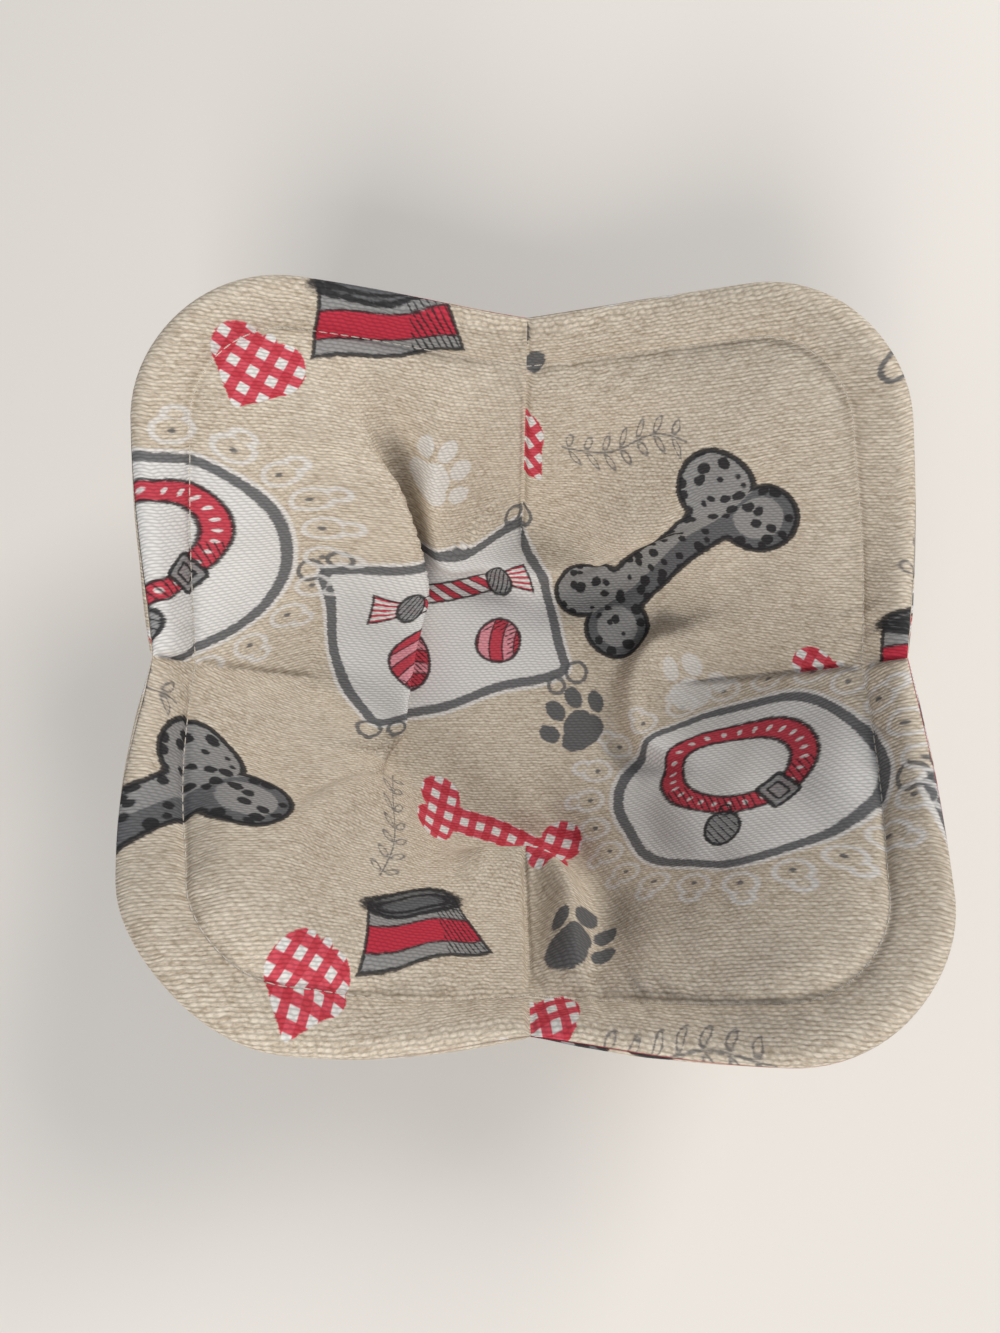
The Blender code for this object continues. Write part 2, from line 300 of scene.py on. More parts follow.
def smooth_line(points, count):
    """A curve through points, as evenly spaced places on it."""
    points = np.array(points)
    knots = np.concatenate(([0], np.cumsum(np.hypot(*np.diff(points, axis=0).T))))
    slopes = np.gradient(points, knots, axis=0)
    at = np.linspace(0, knots[-1], count)
    span = np.clip(np.searchsorted(knots, at, side="right") - 1, 0, len(knots) - 2)
    size = (knots[1:] - knots[:-1])[span]
    t = ((at - knots[span]) / size)[:, None]
    size = size[:, None]
    start, end = points[span], points[span + 1]
    pull, push = slopes[span] * size, slopes[span + 1] * size
    ease = 3 * t**2 - 2 * t**3
    return start + ease * (end - start) + (t**3 - 2 * t**2 + t) * pull + (t**3 - t**2) * push


def uneven(points, size, seed):
    """Smooth unevenness of cloth over wadding, about -1 to 1, with bumps of a size in metres."""
    shift = Vector((seed * 7.3, seed * 3.1, seed * 5.7))
    flat = points.reshape(-1, 3) / size
    values = [noise.noise(Vector(point) + shift) for point in flat]
    return np.array(values).reshape(points.shape[:-1]) * 1.6


MIDDLE = np.empty((COLUMNS, RINGS, 3))
UP_THE_WALL = np.empty_like(MIDDLE)
for column, line in enumerate(MERIDIANS):
    MIDDLE[column], UP_THE_WALL[column] = line.at(RING_LENGTHS[column])
AROUND = np.roll(MIDDLE, -1, axis=0) - np.roll(MIDDLE, 1, axis=0)
AROUND[:, 0] = np.column_stack((-np.sin(HEADINGS), np.cos(HEADINGS), np.zeros(COLUMNS)))
SQUARE = np.cross(UP_THE_WALL, AROUND)
SQUARE /= np.linalg.norm(SQUARE, axis=2, keepdims=True)


def crease_depth():
    """Depth of the ditch along each dart's sewn line, and of the soft hollow round it."""
    off, tip = dart_offset()
    across = off[:, None] * np.hypot(MIDDLE[..., 0], MIDDLE[..., 1])
    grown = smooth((RING_LENGTHS - tip[:, None]) / 0.014 + 0.35)
    ditch = 0.0026 * np.exp(-((across / 0.0009) ** 2)) + 0.0016 * np.exp(-((across / 0.0065) ** 2))
    step = 0.0007 * np.tanh(across / 0.0008) * np.exp(-((across / 0.0090) ** 2))
    return (ditch + step) * grown


def stitch_groove():
    """Depth that the topstitching pulls each face in by, with small puckers beside it."""
    apart = RING_LENGTHS - STITCHES[:, None]
    rim_way = np.cumsum(np.linalg.norm(AROUND[:, -1], axis=1) / 2)
    ripple = np.sin(rim_way / 0.0101 * 2 * math.pi + 2.2 * np.sin(rim_way / 0.031))
    ripple = ripple + 0.6 * np.sin(rim_way / 0.0063 * 2 * math.pi + 1.7 * np.sin(rim_way / 0.023 + 1))
    pull = 0.0013 * np.exp(-((apart / 0.0012) ** 2)) + 0.0019 * np.exp(-((apart / 0.0054) ** 2))
    puckers = 0.00030 * ripple[:, None] * np.exp(-(((np.abs(apart) - 0.0035) / 0.0030) ** 2))
    return pull + puckers


PULLED_IN = np.minimum((stitch_groove() + crease_depth()) / HALF_THICKNESS, 0.96)
ABOVE_BASE = smooth((RING_LENGTHS - 0.030) / 0.030)
UNEVEN = {
    side: (0.0010 * uneven(MIDDLE, 0.026, 1 + side) + 0.00040 * uneven(MIDDLE, 0.011, 4 + side)) * ABOVE_BASE
    for side in (1, -1)
}
DEEPEST_VALLEY = PADDED_THICKNESS - 2 * CLOTH_THICKNESS - 2 * LAYER_GAP - 0.0010
FREE = smooth((STITCHES[:, None] - RING_LENGTHS) / STITCH_INSET)
FOLD_LIFT, FOLD_LEAN = fold_lift(MIDDLE[..., 0], MIDDLE[..., 1])
FOLD_LIFT = FOLD_LIFT + 0.0006 * uneven(MIDDLE, 0.018, 9) + 0.0010 * uneven(MIDDLE, 0.034, 12)
FOLD_LIFT, FOLD_LEAN = FOLD_LIFT * FREE, FOLD_LEAN * FREE[..., None]
FOLD_LIFT = np.maximum(FOLD_LIFT, -DEEPEST_VALLEY * (1 - PULLED_IN))


def cloth_face(side, under, gap, follow=1.0):
    """Points of a face: side is 1 for the lining, -1 for the outer cloth, and under is how far in it lies.

    Follow is the share of the lining's folds that the face fills.
    """
    turn = EDGE_TURN[None, :]
    full = HALF_THICKNESS - under
    half = (full + UNEVEN[side]) * (1 - PULLED_IN) * np.cos(turn) + gap
    out = (EDGE_ROUND - under) * np.sin(turn)
    points = MIDDLE + side * half[..., None] * SQUARE + out[..., None] * UP_THE_WALL
    if side > 0:
        lift = np.where(FOLD_LIFT > 0, FOLD_LIFT * follow, FOLD_LIFT)
        points = points + lift[..., None] * SQUARE
        points[..., :2] += FOLD_LEAN * follow
    else:
        points[..., 2] = np.maximum(points[..., 2], under)
    return points


def turned_disc():
    """A flat disc with every ring and column, made by turning a row of points about its end."""
    disc = bmesh.new()
    row = [disc.verts.new((ring, 0, 0)) for ring in range(RINGS)]
    links = [disc.edges.new(pair) for pair in zip(row, row[1:])]
    turn = {"cent": (0, 0, 0), "axis": (0, 0, 1), "angle": 2 * math.pi, "steps": COLUMNS, "use_merge": True}
    bmesh.ops.spin(disc, geom=row + links, **turn)
    bmesh.ops.remove_doubles(disc, verts=disc.verts, dist=1e-3)
    mesh = bpy.data.meshes.new("disc")
    disc.to_mesh(mesh)
    disc.free()
    return mesh


FLAT_DISC = turned_disc()


def add_face(work, points, back):
    """Adds a face to a cloth, and keeps the ring and the column of each point for the flat pattern."""
    disc = bmesh.new()
    disc.from_mesh(FLAT_DISC)
    keys = {name: disc.verts.layers.int.new(name) for name in ("ring", "column", "back")}
    for vert in disc.verts:
        ring = round(vert.co.length)
        column = round(math.atan2(vert.co.y, vert.co.x) / (2 * math.pi) * COLUMNS) % COLUMNS
        vert.co = points[column, ring]
        vert[keys["ring"]], vert[keys["column"]], vert[keys["back"]] = ring, column, back
    part = bpy.data.meshes.new("face")
    disc.to_mesh(part)
    disc.free()
    work.from_mesh(part)
    bpy.data.meshes.remove(part)


def lay_flat_pattern(mesh, columns, rings, lines):
    """UV map of a cloth as it is cut: its face fills most of the square, and its hidden back a corner."""
    counts = len(mesh.vertices)
    ring, column, back = (np.empty(counts, int) for _ in range(3))
    for name, values in (("ring", ring), ("column", column), ("back", back)):
        mesh.attributes[name].data.foreach_get("value", values)
    corner_vert = np.empty(len(mesh.loops), int)
    mesh.loops.foreach_get("vertex_index", corner_vert)
    first, total = np.empty(len(mesh.polygons), int), np.empty(len(mesh.polygons), int)
    mesh.polygons.foreach_get("loop_start", first)
    mesh.polygons.foreach_get("loop_total", total)
    face_of = np.repeat(np.arange(len(first)), total)
    order = np.concatenate([np.arange(a, a + b) for a, b in zip(first, total)])
    corner_face = np.empty(len(corner_vert), int)
    corner_face[order] = face_of
    outer = np.where(ring[corner_vert] > 0, column[corner_vert], -1)
    highest = np.zeros(len(first), int)
    np.maximum.at(highest, corner_face, outer)
    lowest = np.full(len(first), columns)
    np.minimum.at(lowest, corner_face, np.where(outer < 0, columns, outer))
    start = np.where(highest - lowest > 1, highest, lowest)[corner_face]
    petal = start // (columns // DARTS)
    at_end = (column[corner_vert] % (columns // DARTS) == 0) & (column[corner_vert] != start)
    place = np.where(at_end, columns + petal, column[corner_vert])
    flat = lines[place, ring[corner_vert]]
    hidden = np.zeros(len(first), bool)
    np.logical_or.at(hidden, corner_face, back[corner_vert] > 0)
    face_uv = PATTERN_MIDDLE + flat * (PATTERN_HALF / CLOTH_HALF_SIDE)
    back_uv = HIDDEN_MIDDLE + flat * (HIDDEN_HALF / CLOTH_HALF_SIDE)
    uv = np.where(hidden[corner_face][:, None], back_uv, face_uv)
    mesh.uv_layers.new(name="OFBake").data.foreach_set("uv", uv.ravel())
    for name in ("ring", "column", "back"):
        mesh.attributes.remove(mesh.attributes[name])


def flat_lines():
    """Places on the cut cloth of each column's rings, then of the four columns that end a petal at a dart."""
    ends = [Meridian(petal, 1.0) for petal in range(DARTS)]
    lines = []
    for line, lengths in [*zip(MERIDIANS, RING_LENGTHS), *((end, None) for end in ends)]:
        lengths = line.rings()[0] if lengths is None else lengths
        lengths = lengths + EDGE_ROUND * EDGE_TURN / EDGE_TURN[-1]
        lines.append(np.column_stack(line.cut(lengths)))
    return np.array(lines)


def closed_cloth(name, face, back, material, node):
    """A cloth with its two faces, closed at the rim, lying as it does in the bowl."""
    work = bmesh.new()
    add_face(work, face, 0)
    add_face(work, back, 1)
    rims = [edge for edge in work.edges if edge.is_boundary]
    bmesh.ops.bridge_loops(work, edges=rims)
    bmesh.ops.recalc_face_normals(work, faces=work.faces)
    mesh = bpy.data.meshes.new(name)
    work.to_mesh(mesh)
    work.free()
    lay_flat_pattern(mesh, COLUMNS, RINGS, flat_lines())
    mesh.shade_smooth()
    mesh.materials.append(material)
    piece = bpy.data.objects.new(name, mesh)
    bpy.context.scene.collection.objects.link(piece)
    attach(piece, "root")
    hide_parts(node)
    return piece


# Materials


class Nodes:
    """Short words for adding shader nodes to a tree."""

    def __init__(self, tree):
        self.tree = tree

    def add(self, kind, settings, inputs):
        node = self.tree.nodes.new(kind)
        for name, value in settings.items():
            setattr(node, name, value)
        for name, value in inputs.items():
            socket = node.inputs[name]
            if isinstance(value, bpy.types.NodeSocket):
                self.tree.links.new(value, socket)
            elif value is not None:
                socket.default_value = value
        return node

    def number(self, operation, a, b=None, c=None):
        return self.add("ShaderNodeMath", {"operation": operation}, {0: a, 1: b, 2: c}).outputs[0]

    def vector(self, operation, a, b=None, c=None):
        node = self.add("ShaderNodeVectorMath", {"operation": operation}, {0: a, 1: b, 2: c})
        return node.outputs["Value" if operation in ("LENGTH", "DISTANCE", "DOT_PRODUCT") else "Vector"]

    def parts(self, vector):
        return self.add("ShaderNodeSeparateXYZ", {}, {0: vector}).outputs

    def joined(self, x, y, z=0.0):
        return self.add("ShaderNodeCombineXYZ", {}, {"X": x, "Y": y, "Z": z}).outputs[0]

    def placed(self, vector, x, y, degrees=0.0, size=1.0):
        """A motif's own places, for a motif that is set down at a place, turned and sized."""
        moved = self.vector("SUBTRACT", vector, (x, y, 0)) if x or y else vector
        if degrees:
            along, up = math.cos(math.radians(degrees)) / size, math.sin(math.radians(degrees)) / size
            right = self.vector("DOT_PRODUCT", moved, (along, up, 0))
            return self.joined(right, self.vector("DOT_PRODUCT", moved, (-up, along, 0)))
        return moved if size == 1.0 else self.vector("MULTIPLY", moved, (1 / size,) * 3)

    def noise(self, vector, scale, detail=2.0, roughness=0.5, kind="2D"):
        facts = {"Vector": vector, "Scale": scale, "Detail": detail, "Roughness": roughness}
        return self.add("ShaderNodeTexNoise", {"noise_dimensions": kind}, facts).outputs["Fac"]

    def ramp(self, value, low, high, first=0.0, last=1.0):
        facts = {"Value": value, "From Min": low, "From Max": high, "To Min": first, "To Max": last}
        return self.add("ShaderNodeMapRange", {"interpolation_type": "SMOOTHSTEP"}, facts).outputs[0]

    def mixed(self, share, a, b, blend="MIX"):
        node = self.add("ShaderNodeMix", {"data_type": "RGBA", "blend_type": blend}, {0: share})
        for socket, value in ((node.inputs[6], a), (node.inputs[7], b)):
            if isinstance(value, bpy.types.NodeSocket):
                self.tree.links.new(value, socket)
            else:
                socket.default_value = (*value, 1)
        return node.outputs[2]

    def group(self, tree, inputs):
        node = self.tree.nodes.new("ShaderNodeGroup")
        node.node_tree = tree
        for name, value in inputs.items():
            if isinstance(value, bpy.types.NodeSocket):
                self.tree.links.new(value, node.inputs[name])
            else:
                node.inputs[name].default_value = value
        return node.outputs


def new_group(name, inputs, outputs):
    """A node group with its inputs and outputs, and words for filling it."""
    tree = bpy.data.node_groups.new(name, "ShaderNodeTree")
    for label, kind in inputs:
        tree.interface.new_socket(label, in_out="INPUT", socket_type=kind)
    for label in outputs:
        tree.interface.new_socket(label, in_out="OUTPUT", socket_type="NodeSocketFloat")
    start, end = tree.nodes.new("NodeGroupInput"), tree.nodes.new("NodeGroupOutput")
    return tree, Nodes(tree), start.outputs, end.inputs


def srgb(red, green, blue):
    """Linear colour from the 0-255 values that a screen shows."""
    shares = (value / 255 for value in (red, green, blue))
    return tuple(((share + 0.055) / 1.055) ** 2.4 if share > 0.04 else share / 12.92 for share in shares)


LINEN = srgb(208, 195, 177)
LINEN_DARK = srgb(154, 137, 115)
LINEN_LIGHT = srgb(222, 212, 196)
WHITE_INK = srgb(222, 220, 218)
GREY_INK = srgb(92, 93, 96)
PALE_GREY_INK = srgb(140, 140, 141)
BLACK_INK = srgb(42, 41, 43)
RED_INK = srgb(190, 34, 60)
PINK_INK = srgb(222, 150, 160)


def round_spot(n, at, x, y, rx, ry=None, degrees=0.0):
    """Distance outside a round or oval spot, in millimetres."""
    if ry is None:
        return n.number("SUBTRACT", n.vector("DISTANCE", at, (x, y, 0)), rx)
    narrow = min(rx, ry)
    squashed = n.vector("MULTIPLY", n.placed(at, x, y, degrees), (narrow / rx, narrow / ry, 0))
    return n.number("SUBTRACT", n.vector("LENGTH", squashed), narrow)


def bar(n, at, x, y, half_long, half_wide, corner, degrees=0.0):
    """Distance outside a bar with round corners, in millimetres."""
    local = n.placed(at, x, y, degrees)
    size = (half_long - corner, half_wide - corner, 0)
    past = n.vector("MAXIMUM", n.vector("SUBTRACT", n.vector("ABSOLUTE", local), size), (0, 0, 0))
    return n.number("SUBTRACT", n.vector("LENGTH", past), corner)


def nearest(n, distances):
    result = distances[0]
    for distance in distances[1:]:
        result = n.number("SMOOTH_MIN", result, distance, 0.6)
    return result


def paw_group():
    """Paw print, about 22 mm long: a pad and four toes."""
    tree, n, start, end = new_group("paw_print", [("At", "NodeSocketVector")], ["Distance"])
    at = start["At"]
    pad = nearest(n, [round_spot(n, at, 0, -3.6, 6.4, 4.6), round_spot(n, at, 0, -0.6, 4.4, 4.2)])
    x, y, _ = n.parts(at)
    either_side = n.joined(n.number("ABSOLUTE", x), y)
    for toe in ((3.2, 6.9, 2.4, 3.5, -8), (8.0, 2.0, 2.3, 3.3, -24)):
        pad = n.number("MINIMUM", pad, round_spot(n, either_side, *toe))
    tree.links.new(pad, end["Distance"])
    return tree


def bone_group():
    """Toy bone, about 46 mm long."""
    tree, n, start, end = new_group("toy_bone", [("At", "NodeSocketVector")], ["Distance"])
    at = n.vector("ABSOLUTE", start["At"])
    shaft = bar(n, at, 0, 0, 18, 4.0, 1.5)
    knob = round_spot(n, at, 18.5, 5.0, 6.0)
    tree.links.new(n.number("SMOOTH_MIN", shaft, knob, 2.0), end["Distance"])
    return tree


def heart_group():
    """Heart, about 26 mm across."""
    tree, n, start, end = new_group("heart", [("At", "NodeSocketVector")], ["Distance"])
    x, y, _ = n.parts(start["At"])
    at = n.joined(n.number("ABSOLUTE", x), y)
    lobe = round_spot(n, at, 5.6, 3.6, 7.4)
    point = bar(n, start["At"], 0, 0.2, 8.6, 8.6, 1.2, 45)
    tree.links.new(n.number("MINIMUM", lobe, point), end["Distance"])
    return tree


def repeat_group():
    """Places about a motif's middle, on a print that repeats with a half drop."""
    sockets = [("At", "NodeSocketVector"), ("Middle", "NodeSocketVector")]
    tree, n, start, _ = new_group("print_repeat", sockets, [])
    tree.interface.new_socket("Local", in_out="OUTPUT", socket_type="NodeSocketVector")
    x, y, _ = n.parts(n.vector("SUBTRACT", start["At"], start["Middle"]))
    strip = n.number("FLOOR", n.number("ADD", n.number("DIVIDE", x, REPEAT_WIDE), 0.5))
    across = n.number("SUBTRACT", x, n.number("MULTIPLY", strip, REPEAT_WIDE))
    dropped = n.number("SUBTRACT", y, n.number("MULTIPLY", strip, REPEAT_HIGH / 2))
    down = n.number("WRAP", dropped, REPEAT_HIGH / 2, -REPEAT_HIGH / 2)
    end = next(node for node in tree.nodes if node.bl_idname == "NodeGroupOutput").inputs
    tree.links.new(n.joined(across, down), end["Local"])
    return tree


# Scale of the print: how far apart its motifs stand, how big they are, and its repeat in millimetres
SPREAD = 1.22
MOTIF_SIZE = 1.12
REPEAT_WIDE = 152.0 * SPREAD
REPEAT_HIGH = 168.0 * SPREAD
MOTIFS = {"paw": paw_group(), "bone": bone_group(), "heart": heart_group(), "repeat": repeat_group()}


def printed_canvas(name, shift, turn):
    """Natural canvas with a pet print. The colour is darkened as painted shade in the gaps between the
    weave's ribs. The print and the weave follow the cut cloth, in millimetres.
    """
    material = bpy.data.materials.new(name)
    material.use_nodes = True
    n = Nodes(material.node_tree)
    shader = material.node_tree.nodes["Principled BSDF"]
    uv = n.add("ShaderNodeUVMap", {"uv_map": "OFBake"}, {}).outputs[0]
    millimetres = CLOTH_HALF_SIDE * 1000 / PATTERN_HALF
    from_middle = n.vector("SUBTRACT", uv, (PATTERN_MIDDLE, PATTERN_MIDDLE, 0))
    cut = n.vector("MULTIPLY", from_middle, (millimetres, millimetres, 0))
    weave, rib, thread_noise = canvas_weave(n, cut)

    slub = n.noise(n.vector("MULTIPLY", cut, (0.16, 1.1, 1)), 1.0, 3.0, 0.6)
    blotch = n.noise(cut, 0.035, 2.0)
    colour = n.mixed(n.ramp(slub, 0.30, 0.72), LINEN_DARK, LINEN_LIGHT)
    colour = n.mixed(0.55, colour, LINEN)
    fleck = n.noise(n.vector("MULTIPLY", cut, (0.55, 1.5, 1)), 1.0, 2.0, 0.7)
    colour = n.mixed(n.ramp(fleck, 0.52, 0.66, 0.0, 0.55), colour, LINEN_LIGHT)
    colour = n.mixed(n.ramp(fleck, 0.46, 0.34, 0.0, 0.50), colour, LINEN_DARK)
    colour = n.mixed(n.ramp(blotch, 0.3, 0.7, 0.0, 0.18), colour, LINEN_LIGHT)

    bleed = n.number("MULTIPLY", n.number("SUBTRACT", thread_noise, 0.5), 0.9)
    x, y, _ = n.parts(cut)
    by_hand = n.vector("SINE", n.vector("MULTIPLY", n.joined(y, x), (0.16, 0.19, 0)))
    drawn = n.vector("MULTIPLY", by_hand, (0.7, 0.7, 0))
    where = n.placed(n.vector("ADD", cut, drawn), *shift, turn)
    ink = Print(n, where, bleed, colour)
    lay_print(ink)
    # Painted shade: the colour is darkened where the ribs are low, in the gaps between them.
    painted_gap_shade = n.ramp(rib, 0.10, 0.75, 0.68, 1.0)
    shaded = n.mixed(1.0, ink.colour, n.joined(painted_gap_shade, painted_gap_shade, painted_gap_shade), "MULTIPLY")
    material.node_tree.links.new(shaded, shader.inputs["Base Color"])
    shader.inputs["Roughness"].default_value = 0.88
    shader.inputs["Specular IOR Level"].default_value = 0.25
    bump = n.add("ShaderNodeBump", {}, {"Strength": 0.55, "Distance": 0.00022, "Height": weave})
    material.node_tree.links.new(bump.outputs[0], shader.inputs["Normal"])
    return material


def canvas_weave(n, cut):
    """Height of a ribbed canvas weave, the rib's own height (which also sets the painted shade in the gaps),
    and a noise that runs with the threads.
    """
    x, y, _ = n.parts(cut)
    wobble = n.number("MULTIPLY", n.number("SUBTRACT", n.noise(cut, 0.22, 1.0), 0.5), 0.9)
    row = n.number("ADD", n.number("DIVIDE", y, 0.90), wobble)
    rib = n.number("ABSOLUTE", n.number("SINE", n.number("MULTIPLY", row, math.pi)))
    step = n.number("MULTIPLY", n.number("FLOOR", row), 0.36)
    pick_way = n.number("ADD", n.number("DIVIDE", x, 2.1), step)
    pick = n.number("SINE", n.number("MULTIPLY", pick_way, 2 * math.pi))
    thread_noise = n.noise(n.vector("MULTIPLY", cut, (0.45, 1.6, 1)), 1.0, 2.0, 0.6)
    raised = n.number("MULTIPLY", rib, n.number("ADD", 0.72, n.number("MULTIPLY", pick, 0.28)))
    weave = n.number("ADD", raised, n.number("MULTIPLY", thread_noise, 0.5))
    return weave, raised, thread_noise


def local_places(n, where, x, y, degrees=0.0, size=1.0):
    """A motif's own places in every repeat of the print."""
    local = n.group(MOTIFS["repeat"], {"At": where, "Middle": (x, y, 0)})["Local"]
    return n.placed(local, 0, 0, degrees, size)


def inside(n, distance, bleed, edge, strength):
    """The ink's strength inside a shape and 0 outside it, with an edge that the threads break up."""
    return n.ramp(n.number("ADD", distance, bleed), edge + 0.25, edge - 0.25, 0.0, strength)


def gingham(n, at, check=3.1):
    """Red and white checks."""
    x, y, _ = n.parts(at)
    bands = [n.ramp(n.number("PINGPONG", axis, check), check * 0.42, check * 0.58) for axis in (x, y)]
    either = n.number("MAXIMUM", *bands)
    both = n.number("MINIMUM", *bands)
    light = n.mixed(either, WHITE_INK, srgb(206, 62, 84))
    return n.mixed(both, light, RED_INK)


class Print:
    """The inks of a print, laid one over another in each repeat of the pattern."""

    def __init__(self, n, where, bleed, colour):
        self.n, self.where, self.bleed, self.colour = n, where, bleed, colour

    def spot(self, x, y, degrees=0.0, size=1.0):
        """A motif's own places, in millimetres from its middle."""
        return local_places(self.n, self.where, x * SPREAD, y * SPREAD, degrees, size * MOTIF_SIZE)

    def lay(self, distance, colour, strength=0.94, edge=0.0):
        """Inks in what lies inside an outline, or up to an edge outside it."""
        self.colour = self.n.mixed(inside(self.n, distance, self.bleed, edge, strength), self.colour, colour)

    def draw(self, distance, width, colour, strength=0.94):
        """Inks a line along an outline."""
        self.lay(self.line(distance, width), colour, strength)

    def line(self, distance, width):
        return self.n.number("SUBTRACT", self.n.number("ABSOLUTE", distance), width)

    def both(self, *distances):
        """Where all of some shapes lie."""
        return functools.reduce(lambda a, b: self.n.number("MAXIMUM", a, b), distances)

    def either(self, *distances):
        """Where any of some shapes lies."""
        return functools.reduce(lambda a, b: self.n.number("MINIMUM", a, b), distances)

    def hatching(self, at, apart, width, lean):
        """Slanting pen strokes."""
        x, y, _ = self.n.parts(at)
        across = self.n.number("ADD", x, self.n.number("MULTIPLY", y, lean))
        return self.n.number("SUBTRACT", self.n.number("PINGPONG", across, apart), width)


def lay_panel(ink, at, half_long, half_high, corner):
    """White panel in a grey frame, with a curl at each corner."""
    n = ink.n
    panel = bar(n, at, 0, 0, half_long, half_high, corner)
    ink.lay(panel, WHITE_INK, 0.80, 3.6)
    ink.lay(panel, GREY_INK, 0.92, 2.6)
    ink.lay(panel, WHITE_INK)
    near_corner = n.vector("SUBTRACT", n.vector("ABSOLUTE", at), (half_long + 2.0, half_high + 2.5, 0))
    curls = ink.either(round_spot(n, near_corner, 1.5, 0.5, 3.0), round_spot(n, near_corner, -5.5, 2.0, 2.3))
    ink.draw(curls, 0.55, GREY_INK, 0.85)


def lay_ball(ink, at, radius):
    """Striped red ball with ink lines."""
    n = ink.n
    ball = round_spot(n, at, 0, 0, radius)
    x, y, _ = n.parts(at)
    curve = n.number("ADD", y, n.number("MULTIPLY", n.number("MULTIPLY", x, x), 0.022))
    stripe = n.number("SUBTRACT", n.number("PINGPONG", n.number("ADD", curve, 3.0), 3.6), 1.7)
    ink.lay(ball, RED_INK)
    ink.lay(ink.both(ball, stripe), PINK_INK)
    shade = ink.both(ball, n.number("MULTIPLY", round_spot(n, at, -2.5, 2.5, radius * 0.88), -1.0))
    shade = ink.both(shade, ink.hatching(at, 0.75, 0.22, 0.7))
    ink.lay(ink.either(ink.both(ball, ink.line(stripe, 0.25)), shade, ink.line(ball, 0.45)), BLACK_INK, 0.9)


def lay_rope(ink, at):
    """Twisted rope toy, about 62 mm long, with a knot and a tassel at each end."""
    n = ink.n
    x, y, _ = n.parts(at)
    from_middle = n.number("ABSOLUTE", x)
    past_knot = n.number("SUBTRACT", from_middle, 23)
    half_wide = n.number("ADD", 2.2, n.number("MULTIPLY", past_knot, 0.34))
    sides = n.number("SUBTRACT", n.number("ABSOLUTE", y), half_wide)
    tassel = ink.both(sides, n.number("MULTIPLY", past_knot, -1.0), n.number("SUBTRACT", past_knot, 9.0))
    fan = n.number("MULTIPLY", n.number("ARCTAN2", y, n.number("ADD", past_knot, 7.0)), 14.0)
    ink.lay(tassel, WHITE_INK)
    ink.lay(ink.both(tassel, n.number("SUBTRACT", n.number("PINGPONG", fan, 1.0), 0.45)), RED_INK)
    ink.draw(tassel, 0.35, BLACK_INK, 0.9)
    rope = bar(n, at, 0, 0, 23, 3.3, 2.0)
    slant = n.number("ADD", x, n.number("MULTIPLY", y, 1.1))
    strand = n.number("SUBTRACT", n.number("PINGPONG", slant, 3.2), 1.6)
    ink.lay(rope, RED_INK)
    ink.lay(ink.both(rope, strand), WHITE_INK)
    ink.lay(ink.either(ink.both(rope, ink.line(strand, 0.25)), ink.line(rope, 0.4)), BLACK_INK, 0.9)
    knot = round_spot(n, n.joined(from_middle, y), 21.5, 0, 4.2, 5.4)
    ink.lay(knot, PALE_GREY_INK)
    wraps = ink.both(knot, ink.hatching(at, 0.9, 0.28, -0.6))
    ink.lay(ink.either(wraps, ink.line(knot, 0.45)), BLACK_INK, 0.9)


def lay_collar(ink, at):
    """Red collar with a buckle and a round tag."""
    n = ink.n
    ring = round_spot(n, at, 0, 2, 17, 11.5)
    band = ink.line(ring, 2.3)
    x, y, _ = n.parts(at)
    ink.lay(band, RED_INK)
    angle = n.number("ARCTAN2", n.number("MULTIPLY", n.number("SUBTRACT", y, 2.0), 1.45), x)
    way = n.number("MULTIPLY", n.number("WRAP", n.number("MULTIPLY", angle, 13 / math.pi), 0.5, -0.5), 4.6)
    ink.lay(round_spot(n, n.joined(way, ring), 0, 0, 0.75), WHITE_INK, 0.9)
    lower = ink.both(band, n.number("ADD", y, 1.0), ink.hatching(at, 0.8, 0.2, 0.4))
    ink.lay(ink.either(lower, ink.line(band, 0.38)), BLACK_INK, 0.9)
    buckle = bar(n, at, 9.5, -7.6, 3.4, 4.0, 1.0, 35)
    tag = round_spot(n, at, -3.5, -16.0, 4.6)
    ink.lay(ink.either(buckle, tag), PALE_GREY_INK)
    tongue = ink.line(bar(n, at, 9.5, -7.6, 1.6, 2.2, 0.6, 35), 0.35)
    loop = ink.line(round_spot(n, at, -3.0, -10.8, 1.5), 0.35)
    scratches = ink.both(tag, ink.hatching(at, 1.0, 0.2, 0.9))
    ink.lay(ink.either(ink.line(buckle, 0.5), tongue, loop, scratches, ink.line(tag, 0.45)), BLACK_INK)


def lay_spotted_bone(ink, at):
    """Big grey bone with black spots and ink shading."""
    n = ink.n
    bone = n.group(MOTIFS["bone"], {"At": n.placed(at, 0, 0, 0, 1.55)})["Distance"]
    bone = n.number("MULTIPLY", bone, 1.55)
    _, y, _ = n.parts(at)
    ink.lay(bone, PALE_GREY_INK)
    edge_shade = ink.both(bone, n.number("SUBTRACT", -3.2, bone), n.number("ADD", y, 0.5))
    ink.lay(edge_shade, GREY_INK, 0.9)
    facts = {"Vector": at, "Scale": 0.21, "Randomness": 1.0}
    spots = n.add("ShaderNodeTexVoronoi", {"feature": "F1", "voronoi_dimensions": "2D"}, facts).outputs[0]
    sizes = n.number("SUBTRACT", spots, n.ramp(n.noise(at, 0.12, 1.0), 0.35, 0.65, 0.14, 0.36))
    ink.lay(ink.both(bone, n.number("MULTIPLY", sizes, 4.8)), BLACK_INK, 0.95)
    ink.draw(bone, 0.75, BLACK_INK)


